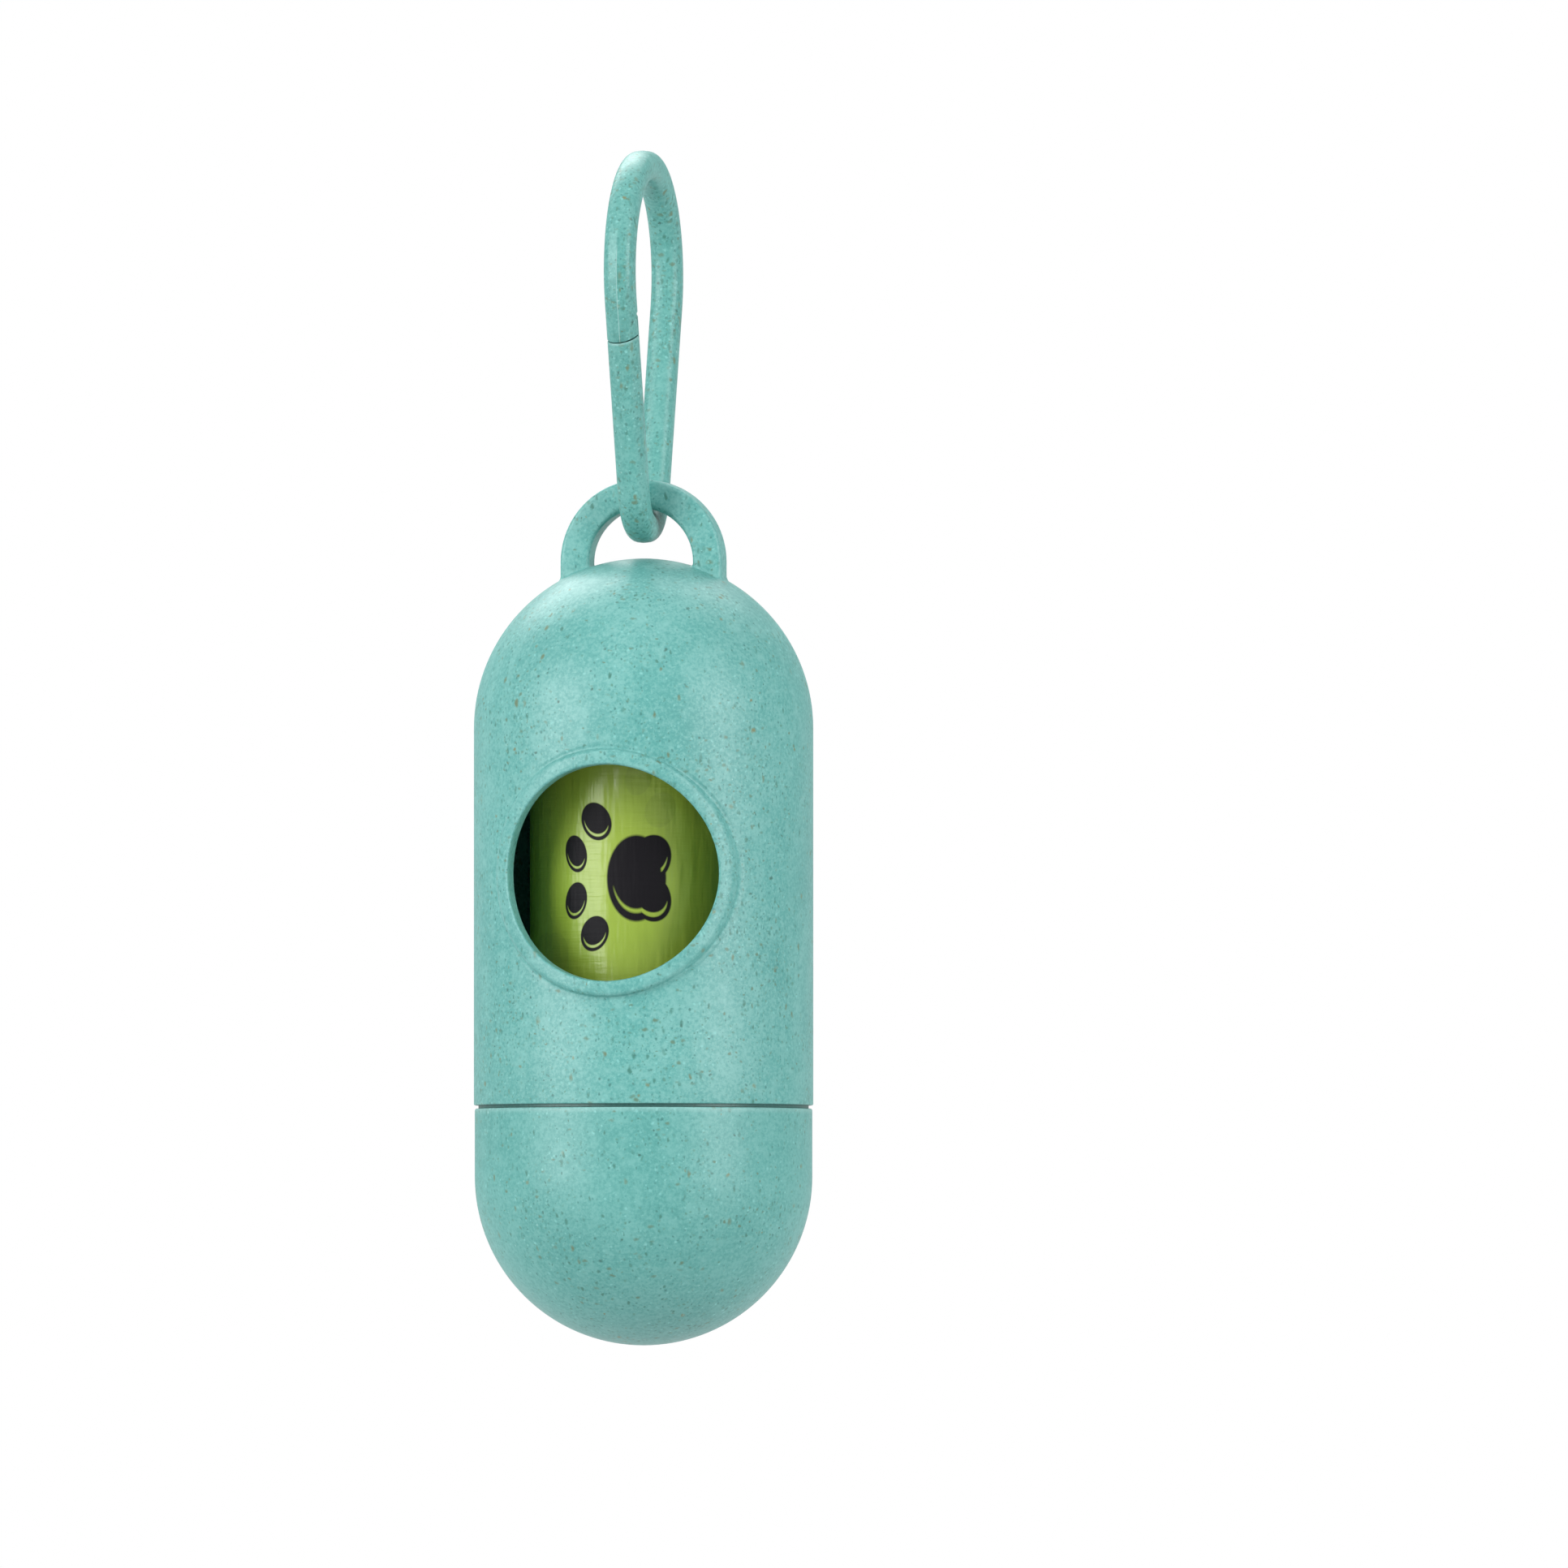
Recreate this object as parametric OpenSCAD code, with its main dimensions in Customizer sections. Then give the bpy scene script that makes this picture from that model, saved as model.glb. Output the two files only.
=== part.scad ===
// Hanging dispenser for a roll of dog waste bags: a capsule housing with a round window,
// a screw cap, a teardrop clip with a sprung gate, and the roll of bags standing in the cap.
// Origin: the inside top of the clip, where it hangs on a leash ring. +Z is up, -Y is the window.

/* [Housing] */
// Outside diameter of the capsule
shell_d = 37; // [34:0.5:44]
// Whole length of the capsule, from its crown to the bottom of the cap
capsule_len = 85.8; // [82:0.2:100]
// Thickness of the housing's wall
shell_wall = 1.8; // [1.2:0.1:2.4]

/* [Window] */
// Diameter of the round window that bags are pulled through
window_d = 23.5; // [16:0.5:24]
// Drop from the crown to the middle of the window
window_drop = 34.3; // [33:0.1:38]
// Width of the raised rim round the window
rim_w = 1.7; // [1:0.1:2.4]
// Height of the rim above the housing
rim_proud = 0.65; // [0.3:0.05:1.2]

/* [Loop] */
// Inside width of the loop on the crown
loop_hole = 11.6; // [9:0.2:14]
// Thickness of the loop's bar, seen from the front
loop_bar = 3; // [2.6:0.05:4]
// Depth of the loop's bar, seen from the side
loop_depth = 3.3; // [3:0.1:5]
// Rounding along the loop's outer edges
loop_edge = 0.5; // [0.4:0.1:1.4]
// How far the middle of the loop's arch lies below the crown
loop_sink = 0.4; // [0:0.1:1]

/* [Centre post] */
// Drop from the crown to the lower end of the post that centres the roll
post_drop = 26; // [22:0.5:30]
// Width of the post at its lower end
post_tip = 2.2; // [1.6:0.1:4]
// Width of the post where it meets the crown
post_root = 5; // [3:0.5:8]
// Thickness of the post's two crossed ribs
post_rib = 1.2; // [0.8:0.1:1.6]

/* [Neck and cap] */
// Height of the cap, from its bottom to the seam
cap_len = 26.2; // [24:0.2:32]
// How much smaller the cap's outside radius is than the housing's
cap_inset = 0.1; // [0:0.05:0.4]
// Thickness of the cap's wall round the neck
cap_skirt = 1.5; // [1.2:0.1:1.6]
// Thickness of the cap's wall round its bowl
cap_wall = 1.8; // [1.2:0.1:2.4]
// Open line of the seam between the housing and the cap
seam_gap = 0.3; // [0.1:0.05:0.6]
// Length of the neck below the seam
neck_len = 7.5; // [5:0.5:9]
// Thickness of the neck's wall
neck_wall = 1.8; // [1.2:0.1:2]
// Room between the neck and the cap for the screw threads
thread_room = 0.9; // [0.6:0.1:1.2]

/* [Clip] */
// Diameter of the clip's round bar
bar_d = 3.4; // [2.6:0.1:4]
// Inside diameter of the clip's large end
ring_hole = 20; // [16:0.5:26]
// Inside diameter of the clip's small end
bend_hole = 6.8; // [6.6:0.1:9]
// Distance between the middles of the two ends
clip_reach = 22.6; // [21:0.1:32]

/* [Gate] */
// Start of the gate, measured up the straight of the near arm
gate_root = 4.5; // [3:0.5:6]
// Length of the half lap at the gate's tip
lap_len = 3.2; // [2:0.1:4]
// Straight arm left above the lap
lap_above = 1.3; // [0.5:0.1:3]

/* [Roll of bags] */
// Diameter of a new roll
roll_d = 25; // [20:0.5:27]
// Length of the roll
roll_len = 60; // [56:0.5:61]
// Outside diameter of the cardboard core
core_d = 10; // [8:0.5:14]
// Thickness of the core's wall
core_wall = 0.8; // [0.5:0.1:1.2]
// How far the core stands out of each end of the roll
core_proud = 0.5; // [0:0.1:1.5]
// Thickness of the lead bag, which lies round the other bags
lead_t = 0.3; // [0.1:0.05:0.6]

/* [Clearances] */
// Gap between the loop and the bottom of the clip's small end
link_gap = 0.3; // [0.2:0.05:0.6]
// Side gap between the loop's rounded underside and the clip's small end
link_side = 0.18; // [0.1:0.02:0.2]
// Gap between the roll's bottom edge and the cap's bowl
roll_gap = 0.15; // [0.1:0.05:0.5]
// Running gap between the bags and their core
core_fit = 0.05; // [0.02:0.01:0.1]
// Gap between the two halves of the lap, and at each of their ends
lap_gap = 0.12; // [0.06:0.02:0.3]
// Running gap of the gate's rounded foot in its seat
seat_fit = 0.05; // [0.02:0.01:0.1]

/* [Hidden] */
$fn = 96;
// Small overlap that keeps cuts and joins clean
eps = 0.02;
// How far a cut runs on past the face that it opens
cut_past = 1;

// Radii of the housing and the clip
shell_r = shell_d / 2;
cavity_r = shell_r - shell_wall;
cap_r = shell_r - cap_inset;
skirt_r = cap_r - cap_skirt;
bowl_r = cap_r - cap_wall;
neck_r = skirt_r - thread_room;
neck_bore_r = neck_r - neck_wall;
window_r = window_d / 2;
rim_r = window_r + rim_w;
bar_r = bar_d / 2;
ring_r = ring_hole / 2 + bar_r;
bend_r = bend_hole / 2 + bar_r;
loop_in_r = loop_hole / 2;
loop_out_r = loop_in_r + loop_bar;

// Heights, from the clip down to the cap's bottom
ring_z = -ring_hole / 2;
bend_z = ring_z - clip_reach;
loop_z = bend_z - bend_hole / 2 + link_gap - loop_in_r;
crown_z = loop_z + loop_sink;
dome_z = crown_z - shell_r;
window_z = crown_z - window_drop;
bottom_z = crown_z - capsule_len;
seam_z = bottom_z + cap_len;
bowl_z = bottom_z + cap_r;
neck_z = seam_z - neck_len;
shoulder_z = seam_z + seam_gap;

// Cone that joins the neck's bore to the wider cavity, so the moulding draws cleanly
throat_slope = 1.2;
throat_low = shoulder_z + neck_wall / 2;
throat_high = throat_low + (cavity_r - neck_bore_r) * throat_slope;

// Roll: its bottom edge sits in the bowl, lifted by the gap at right angles to the bowl
roll_r = roll_d / 2;
core_r = core_d / 2;
wound_r = roll_r - lead_t;
roll_z = bowl_z - sqrt(pow(bowl_r - roll_gap, 2) - roll_r * roll_r);

// Straight arms of the clip: common tangents of the two ends
arm_tilt = asin((ring_r - bend_r) / clip_reach);
arm_len = clip_reach * cos(arm_tilt);
lap_top = arm_len - lap_above;
lap_low = lap_top - lap_len;

// Rounding under the loop: the corner's arc just touches a circle inside the clip's small end.
// Its centre lies at (half - edge, drop - edge), and its distance plus edge is the circle's radius
link_r = bend_hole / 2 - link_side;
link_drop = bend_hole / 2 - link_gap;
loop_half = loop_depth / 2;
link_edge = loop_half + link_drop - link_r - sqrt(2 * (link_r - loop_half) * (link_r - link_drop));

// Steps that round off the window rim's flank, and the share of its width that stays level
rim_steps = 4;
rim_level = 0.35;

// Sides of the clip's bar, and its steps round the small and the large end
bar_sides = 24;
bend_steps = 12;
ring_steps = 26;

// A capsule end with a straight part: a ball at ball_z and a cylinder from it to end_z
module capsule_end(r, ball_z, end_z) {
    translate([0, 0, ball_z]) sphere(r);
    translate([0, 0, min(ball_z, end_z)]) cylinder(r = r, h = abs(end_z - ball_z));
}

// The raised rim round the window, wrapped on the housing's round wall: each step is a round
// plate about the window's axis, as thick as the rim is there
module window_rim() {
    level_r = window_r + rim_w * rim_level;
    for (i = [1 : rim_steps])
        intersection() {
            translate([0, 0, window_z]) rotate([90, 0, 0])
                cylinder(r = level_r + (rim_r - level_r) * sin(90 * i / rim_steps), h = 2 * shell_r);
            translate([0, 0, window_z - rim_r - cut_past])
                cylinder(r = shell_r + rim_proud * cos(90 * (i - 0.5) / rim_steps),
                         h = 2 * (rim_r + cut_past));
        }
}

// The loop's bar in section, with the outside of the arch to +X: rounded edges, and a
// rounder inside that sits in the clip's small end
module loop_section() {
    out_x = loop_out_r - loop_edge;
    in_x = loop_in_r + link_edge;
    for (side = [-1, 1]) {
        translate([out_x, side * (loop_half - loop_edge)]) circle(loop_edge);
        translate([in_x, side * (loop_half - link_edge)]) circle(link_edge);
    }
    translate([in_x, -loop_half]) square([out_x - in_x, loop_depth]);
    translate([loop_in_r, link_edge - loop_half]) square([loop_bar, loop_depth - 2 * link_edge]);
    translate([in_x, loop_edge - loop_half]) square([loop_out_r - in_x, loop_depth - 2 * loop_edge]);
}

// The loop on the crown: a whole ring, its lower half sunk in the dome
module crown_loop() {
    translate([0, 0, loop_z]) rotate([90, 0, 0]) rotate_extrude() loop_section();
}

// One tapered rib of the centre post, from inside the crown down to the post's tip
module post_rib_plate() {
    top = crown_z - shell_wall / 2;
    tip = crown_z - post_drop;
    rotate([90, 0, 0]) translate([0, 0, -post_rib / 2]) linear_extrude(height = post_rib)
        polygon([[-post_tip / 2, tip], [post_tip / 2, tip], [post_root / 2, top], [-post_root / 2, top]]);
}

module body_shell() {
    color("mediumturquoise") {
        difference() {
            union() {
                capsule_end(shell_r, dome_z, shoulder_z);
                translate([0, 0, neck_z]) cylinder(r = neck_r, h = shoulder_z - neck_z + eps);
                crown_loop();
                window_rim();
            }
            capsule_end(cavity_r, dome_z, throat_high - eps);
            translate([0, 0, throat_low])
                cylinder(r1 = neck_bore_r, r2 = cavity_r, h = throat_high - throat_low);
            translate([0, 0, neck_z - cut_past])
                cylinder(r = neck_bore_r, h = throat_low - neck_z + cut_past + eps);
            translate([0, 0, window_z]) rotate([90, 0, 0]) cylinder(r = window_r, h = 2 * shell_r);
        }
        for (turn = [0, 90])
            rotate([0, 0, turn]) post_rib_plate();
    }
}

module end_cap() {
    color("turquoise") difference() {
        capsule_end(cap_r, bowl_z, seam_z);
        translate([0, 0, bowl_z]) sphere(bowl_r);
        translate([0, 0, bowl_z]) cylinder(r = skirt_r, h = cap_len);
    }
}

// Moves a shape to the foot of the near arm's straight, with its Z axis up the arm
module on_near_arm() {
    translate([0, -bend_r * cos(arm_tilt), bend_z - bend_r * sin(arm_tilt)])
        rotate([arm_tilt, 0, 0]) children();
}

// Stations of the clip's bar, as [y, z, outward angle], the angle from +Y towards +Z. The
// straights are the spans between the two round ends, because these share their tangents
function bar_station(r, z, angle) = [r * cos(angle), z + r * sin(angle), angle];
function arm_station(up) = [
    -bend_r * cos(arm_tilt) - up * sin(arm_tilt),
    bend_z - bend_r * sin(arm_tilt) + up * cos(arm_tilt),
    180 + arm_tilt];
function bar_arc(r, z, from, to, steps) =
    [for (i = [0 : steps]) bar_station(r, z, from + (to - from) * i / steps)];

// The whole teardrop as one round bar, from the gate's foot round to the lap on the near arm
module clip_bar() {
    stations = concat(
        [arm_station(gate_root)],
        bar_arc(bend_r, bend_z, 180 + arm_tilt, 360 - arm_tilt, bend_steps),
        bar_arc(ring_r, ring_z, -arm_tilt, 180 + arm_tilt, ring_steps),
        [arm_station(lap_low + 2 * lap_gap)]);
    n = len(stations);
    m = bar_sides;
    points = [for (s = stations) for (j = [0 : m - 1])
        let (out = bar_r * cos(360 * j / m))
        [bar_r * sin(360 * j / m), s[0] + out * cos(s[2]), s[1] + out * sin(s[2])]];
    sides = [for (i = [0 : n - 2]) for (j = [0 : m - 1])
        let (a = i * m + j)
        let (b = i * m + (j + 1) % m)
        each [[a, a + m, b], [b, a + m, b + m]]];
    ends = [[for (j = [0 : m - 1]) j], [for (j = [m - 1 : -1 : 0]) (n - 1) * m + j]];
    polyhedron(points = points, faces = concat(sides, ends));
}

// A length of straight bar between two heights on an arm
module bar(low, high) {
    translate([0, 0, low]) cylinder(d = bar_d, h = high - low);
}

// Cuts away the inner half of the near arm at the lap, so the frame keeps a lip on the outside.
// Mirrored, it leaves the gate's tongue, which lies behind that lip
module lap_cut() {
    translate([-bar_d, -lap_gap / 2, lap_low]) cube([2 * bar_d, bar_d + lap_gap / 2, lap_len]);
}

// The gate's rounded foot, or the seat cut for it
module gate_foot(r) {
    translate([-bar_d, 0, gate_root]) rotate([0, 90, 0]) cylinder(r = r, h = 2 * bar_d);
}

module clip_frame() {
    color("mediumturquoise") difference() {
        clip_bar();
        on_near_arm() {
            gate_foot(bar_r + seat_fit);
            lap_cut();
        }
    }
}

module clip_gate() {
    color("turquoise") on_near_arm() {
        difference() {
            bar(gate_root, lap_top - 2 * lap_gap);
            mirror([0, 1, 0]) lap_cut();
        }
        intersection() {
            bar(gate_root - bar_r, gate_root + eps);
            gate_foot(bar_r);
        }
    }
}

// A tube standing on the roll's bottom end, lengthened by the same amount at both ends
module roll_tube(outer, inner, extra) {
    translate([0, 0, roll_z - extra]) difference() {
        cylinder(r = outer, h = roll_len + 2 * extra);
        translate([0, 0, -cut_past]) cylinder(r = inner, h = roll_len + 2 * (extra + cut_past));
    }
}

module roll_core() {
    color("tan") roll_tube(core_r, core_r - core_wall, core_proud);
}

module wound_bags() {
    color("yellowgreen") roll_tube(wound_r, core_r + core_fit, 0);
}

module lead_bag() {
    color("olivedrab") roll_tube(roll_r, wound_r, 0);
}

body_shell();
end_cap();
clip_frame();
clip_gate();
roll_core();
wound_bags();
lead_bag();
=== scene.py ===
import math

import bmesh
import bpy
import numpy as np
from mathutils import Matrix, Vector


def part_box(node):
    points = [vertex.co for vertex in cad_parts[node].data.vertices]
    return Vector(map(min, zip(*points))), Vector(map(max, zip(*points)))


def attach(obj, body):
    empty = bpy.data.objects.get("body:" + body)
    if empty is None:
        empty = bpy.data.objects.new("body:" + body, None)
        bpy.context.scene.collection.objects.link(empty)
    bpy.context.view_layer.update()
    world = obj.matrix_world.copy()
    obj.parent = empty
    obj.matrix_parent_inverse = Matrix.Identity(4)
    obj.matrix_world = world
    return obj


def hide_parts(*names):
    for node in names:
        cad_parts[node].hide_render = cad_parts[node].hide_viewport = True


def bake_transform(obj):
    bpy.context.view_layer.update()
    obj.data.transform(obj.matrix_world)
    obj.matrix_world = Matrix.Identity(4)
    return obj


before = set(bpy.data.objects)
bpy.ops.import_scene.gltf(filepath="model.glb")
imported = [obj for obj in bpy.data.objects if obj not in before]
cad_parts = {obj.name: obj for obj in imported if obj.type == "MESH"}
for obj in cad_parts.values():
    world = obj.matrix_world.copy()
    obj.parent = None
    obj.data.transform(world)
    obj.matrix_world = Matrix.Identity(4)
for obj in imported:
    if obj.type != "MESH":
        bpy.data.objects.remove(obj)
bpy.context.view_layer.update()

scene = bpy.context.scene
scene.view_settings.view_transform = "Standard"

# Camera. It stands far off with a long lens, turned to the object's right so that the window
# looks to the viewer's left, and a little low. The photograph's pixels give its frame.
mm = 0.001
photo_px = 1932
px_per_mm = 11.3
axis_px = 793
cap_bottom_px = 1657.6
view_azimuth = math.radians(12.6)
view_elevation = math.radians(-1.2)
view_distance = 4.0

to_camera = Vector((
    math.sin(view_azimuth) * math.cos(view_elevation),
    -math.cos(view_azimuth) * math.cos(view_elevation),
    math.sin(view_elevation)))
to_right = Vector((math.cos(view_azimuth), math.sin(view_azimuth), 0))
cap_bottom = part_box("end_cap")[0][2]
frame_middle = to_right * ((photo_px / 2 - axis_px) / px_per_mm * mm)
frame_middle.z = cap_bottom + (cap_bottom_px - photo_px / 2) / px_per_mm * mm

camera = bpy.data.objects.new("camera", bpy.data.cameras.new("camera"))
camera.data.sensor_width = 36
camera.data.lens = camera.data.sensor_width * view_distance / (photo_px / px_per_mm * mm)
camera.data.clip_end = 20
camera.location = frame_middle + to_camera * view_distance
camera.rotation_euler = to_camera.to_track_quat("Z", "Y").to_euler()
scene.collection.objects.link(camera)
scene.camera = camera


# Floor and studio light. The object hangs over a pale floor, with room below it to unscrew the
# cap. Two soft boxes beside the camera give the capsule its two broad highlights, one above it
# evens out the dome, and two behind the object light its crown. A pale world fills the rest.
def node(tree, kind, **inputs):
    """Adds a node. An input goes by its label, with _ for a space, or by its number after a _. It
    is a value, or the output of another node that feeds it."""
    made = tree.nodes.new(kind)
    for name, value in inputs.items():
        key = int(name[1:]) if name[1:].isdigit() else name.replace("_", " ")
        if isinstance(value, bpy.types.NodeSocket):
            tree.links.new(value, made.inputs[key])
        else:
            made.inputs[key].default_value = value
    return made


def math_node(tree, operation, first, second=0.5, third=0.5, clamp=False):
    """Adds a math node and gives its result."""
    made = node(tree, "ShaderNodeMath", _0=first, _1=second, _2=third)
    made.operation = operation
    made.use_clamp = clamp
    return made.outputs[0]


def seen_ray(tree, in_gloss):
    """1 for rays that reach the eye straight or through glass, in_gloss for mirrored ones, else 0."""
    path = tree.nodes.new("ShaderNodeLightPath").outputs
    mirrored = math_node(
        tree, "MULTIPLY_ADD", path["Is Glossy Ray"], in_gloss, path["Is Camera Ray"])
    return math_node(tree, "ADD", mirrored, path["Is Transmission Ray"], clamp=True)


floor_drop = 100 * mm
floor_radius = 6.0
floor_whiteness = 0.7
floor_shape = bmesh.new()
bmesh.ops.create_circle(floor_shape, cap_ends=True, segments=64, radius=floor_radius)
bmesh.ops.translate(floor_shape, vec=(0, 0, cap_bottom - floor_drop), verts=floor_shape.verts)
floor_mesh = bpy.data.meshes.new("floor")
floor_shape.to_mesh(floor_mesh)
floor = bpy.data.objects.new("floor", floor_mesh)
scene.collection.objects.link(floor)
floor_paint = bpy.data.materials.new("pale_floor")
floor_paint.use_nodes = True
floor_paint.cycles.emission_sampling = "NONE"
tree = floor_paint.node_tree
tree.nodes.clear()
floor_matte = node(tree, "ShaderNodeBsdfDiffuse", Color=(0.5, 0.5, 0.5, 1))
floor_white = node(tree, "ShaderNodeEmission", Color=(1, 1, 1, 1), Strength=1.0)
floor_mix = node(
    tree, "ShaderNodeMixShader", _0=math_node(tree, "MULTIPLY", seen_ray(tree, 1.0), floor_whiteness),
    _1=floor_matte.outputs[0], _2=floor_white.outputs[0])
node(tree, "ShaderNodeOutputMaterial", Surface=floor_mix.outputs[0])
floor_mesh.materials.append(floor_paint)

world = bpy.data.worlds.new("studio")
world.use_nodes = True
tree = world.node_tree
tree.nodes.clear()
world_light = node(tree, "ShaderNodeBackground", Color=(0.98, 0.99, 1, 1), Strength=0.2)
world_white = node(tree, "ShaderNodeBackground", Color=(1, 1, 1, 1), Strength=1.0)
world_mix = node(
    tree, "ShaderNodeMixShader", _0=seen_ray(tree, 0.45),
    _1=world_light.outputs[0], _2=world_white.outputs[0])
node(tree, "ShaderNodeOutputWorld", Surface=world_mix.outputs[0])
scene.world = world


softbox_distance = 1.3


def softbox(name, turn, rise, width, height, watts):
    """A soft box aimed at the object, turned from the camera's side and raised by these degrees."""
    lamp = bpy.data.lights.new(name, "AREA")
    lamp.shape = "RECTANGLE"
    lamp.size = width
    lamp.size_y = height
    lamp.energy = watts
    box = bpy.data.objects.new(name, lamp)
    turned = view_azimuth + math.radians(turn)
    side = Vector((math.sin(turned), -math.cos(turned), 0)) * math.cos(math.radians(rise))
    side.z = math.sin(math.radians(rise))
    box.location = Vector((0, 0, frame_middle.z)) + side * softbox_distance
    box.rotation_euler = side.to_track_quat("Z", "Y").to_euler()
    scene.collection.objects.link(box)


softbox("left_softbox", turn=-57, rise=12, width=0.8, height=1.0, watts=15.9)
softbox("right_softbox", turn=53, rise=13, width=0.7, height=1.0, watts=13.3)
softbox("top_softbox", turn=-10, rise=57, width=1.0, height=0.8, watts=3.8)
softbox("back_left_softbox", turn=-156, rise=47, width=0.9, height=0.8, watts=10.5)
softbox("back_right_softbox", turn=160, rise=52, width=0.9, height=0.7, watts=5.5)


# Housing. One turquoise moulding with straw flecks in it: a capsule with a round window in a
# raised rim, a loop on its crown, a neck for the screw cap and two crossed ribs inside the dome.
shell_low, shell_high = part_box("body_shell")
shell_r = shell_high[0] / mm
shell_wall = 1.8
cavity_r = shell_r - shell_wall
seam_z = cap_bottom / mm + 25.8
seam_gap = 0.36
shoulder_z = seam_z + seam_gap
crown_z = cap_bottom / mm + 85.8
dome_z = crown_z - shell_r
window_z = crown_z - 34.6
window_r = 11.75
rim_r = 13.45
rim_proud = 0.65
neck_low = shell_low[2] / mm
neck_r = 16.0
neck_bore_r = 14.2
throat_low = shoulder_z + 0.9
throat_high = throat_low + (cavity_r - neck_bore_r) * 1.2
edge_round = 0.15
neck_round = 0.4
step_r = shell_r - 0.5
step_gap = 0.04

turns_round = 144
patch_half = 24
patch_angle = 2 * math.pi * patch_half / turns_round
patch_high = dome_z
patch_low = 2 * window_z - dome_z


def solid(name, sheets, crease=35):
    """A closed mesh sewn from sheets of points in mm. A sheet is (rows, whether rows close up)."""
    shape = bmesh.new()
    for rows, wrap in sheets:
        corners = [[shape.verts.new(Vector(point) * mm) for point in row] for row in rows]
        for low, high in zip(corners, corners[1:]):
            count = len(low)
            for i in range(count if wrap else count - 1):
                shape.faces.new((low[i], low[(i + 1) % count], high[(i + 1) % count], high[i]))
    bmesh.ops.remove_doubles(shape, verts=shape.verts, dist=2e-6)
    bmesh.ops.dissolve_degenerate(shape, dist=1e-7, edges=shape.edges)
    bmesh.ops.recalc_face_normals(shape, faces=shape.faces)
    mesh = bpy.data.meshes.new(name)
    shape.to_mesh(mesh)
    shape.free()
    mesh.shade_smooth()
    mesh.set_sharp_from_angle(angle=math.radians(crease))
    piece = bpy.data.objects.new(name, mesh)
    scene.collection.objects.link(piece)
    return piece


def on_wall(r, angle, z):
    """A point on a round wall. Angle 0 is the front, and it grows towards +X."""
    return (r * math.sin(angle), -r * math.cos(angle), z)


def lathe(profile):
    """Rows of points all the way round, one for each (radius, height) of the profile."""
    angles = [2 * math.pi * i / turns_round for i in range(turns_round)]
    return [[on_wall(r, angle, z) for angle in angles] for r, z in profile]


def corner(r, z, size, start, end, steps=4):
    """Points of a rounded edge about (r, z), from one angle to another in degrees."""
    turns = [math.radians(start + (end - start) * i / steps) for i in range(steps + 1)]
    return [(r + size * math.cos(turn), z + size * math.sin(turn)) for turn in turns]


def dome(r, z, start, end, steps=36):
    """The profile of a round end about the capsule's axis."""
    return corner(0, z, r, start, end, steps)


def window_patch(r, ring, steps=9):
    """Rows on a round wall from a ring about the window out to the patch's straight edges."""
    side = 2 * patch_half
    rows = []
    for step in range(steps + 1):
        share = step / steps
        row = []
        for i in range(4 * side):
            turn = math.radians(-45) + 2 * math.pi * i / (4 * side)
            near = (math.asin(ring * math.cos(turn) / r), window_z + ring * math.sin(turn))
            along = (i % side) / side
            far = [
                (patch_angle, patch_low + along * (patch_high - patch_low)),
                (patch_angle * (1 - 2 * along), patch_high),
                (-patch_angle, patch_high - along * (patch_high - patch_low)),
                (patch_angle * (2 * along - 1), patch_low)][i // side]
            row.append(on_wall(
                r, near[0] + share * (far[0] - near[0]), near[1] + share * (far[1] - near[1])))
        rows.append(row)
    return rows


def window_rows(profile):
    """Rows round the window for each (distance from its axis, radius of the wall there)."""
    count = 8 * patch_half
    turns = [math.radians(-45) + 2 * math.pi * i / count for i in range(count)]
    return [[on_wall(wall, math.asin(ring * math.cos(turn) / wall), window_z + ring * math.sin(turn))
             for turn in turns] for ring, wall in profile]


def wall_round_back(r):
    """The wall beside and behind the window, in rows that meet the window's patch."""
    angles = [patch_angle + (2 * math.pi - 2 * patch_angle) * i / (turns_round - 2 * patch_half)
              for i in range(turns_round - 2 * patch_half + 1)]
    heights = [patch_low + (patch_high - patch_low) * i / (2 * patch_half)
               for i in range(2 * patch_half + 1)]
    return [[on_wall(r, angle, z) for angle in angles] for z in heights]


rim_top = shell_r + rim_proud
bore_round = 0.3
rim_round = 0.5
rim_foot = 0.6
rim_crease = 0.06
skirt_middle_z = -96
bead = (
    [(window_r + bore_round, cavity_r)]
    + corner(window_r + bore_round, cavity_r + bore_round, bore_round, 270, 180)[1:]
    + corner(window_r + bore_round, rim_top - bore_round, bore_round, 180, 90)
    + corner(rim_r - rim_round, rim_top - rim_round, rim_round, 90, 0)
    + [(rim_r + rim_foot * across, shell_r + rim_crease * up) for across, up in (
        (0.04, 0.4), (0.14, -0.6), (0.28, -1), (0.48, -1), (0.72, -0.5), (0.88, -0.1), (1, 0))])
skirt_profile = (
    [(shell_r, patch_low), (shell_r, skirt_middle_z)]
    + corner(shell_r - edge_round, shoulder_z + edge_round, edge_round, 0, -90)
    + [(step_r, shoulder_z), (step_r, seam_z + step_gap), (neck_r, seam_z + step_gap)]
    + corner(neck_r - neck_round, neck_low + neck_round, neck_round, 0, -90)
    + corner(neck_bore_r + bore_round, neck_low + bore_round, bore_round, 270, 180)
    + [(neck_bore_r, throat_low), (cavity_r, throat_high), (cavity_r, patch_low)])
housing_sheets = [
    (lathe(dome(shell_r, dome_z, 90, 0)), True),
    (wall_round_back(shell_r), False),
    (window_patch(shell_r, rim_r + rim_foot), True),
    (window_rows(bead), True),
    (window_patch(cavity_r, window_r + bore_round), True),
    (wall_round_back(cavity_r), False),
    (lathe(dome(cavity_r, dome_z, 90, 0)), True),
    (lathe(skirt_profile), True)]

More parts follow.
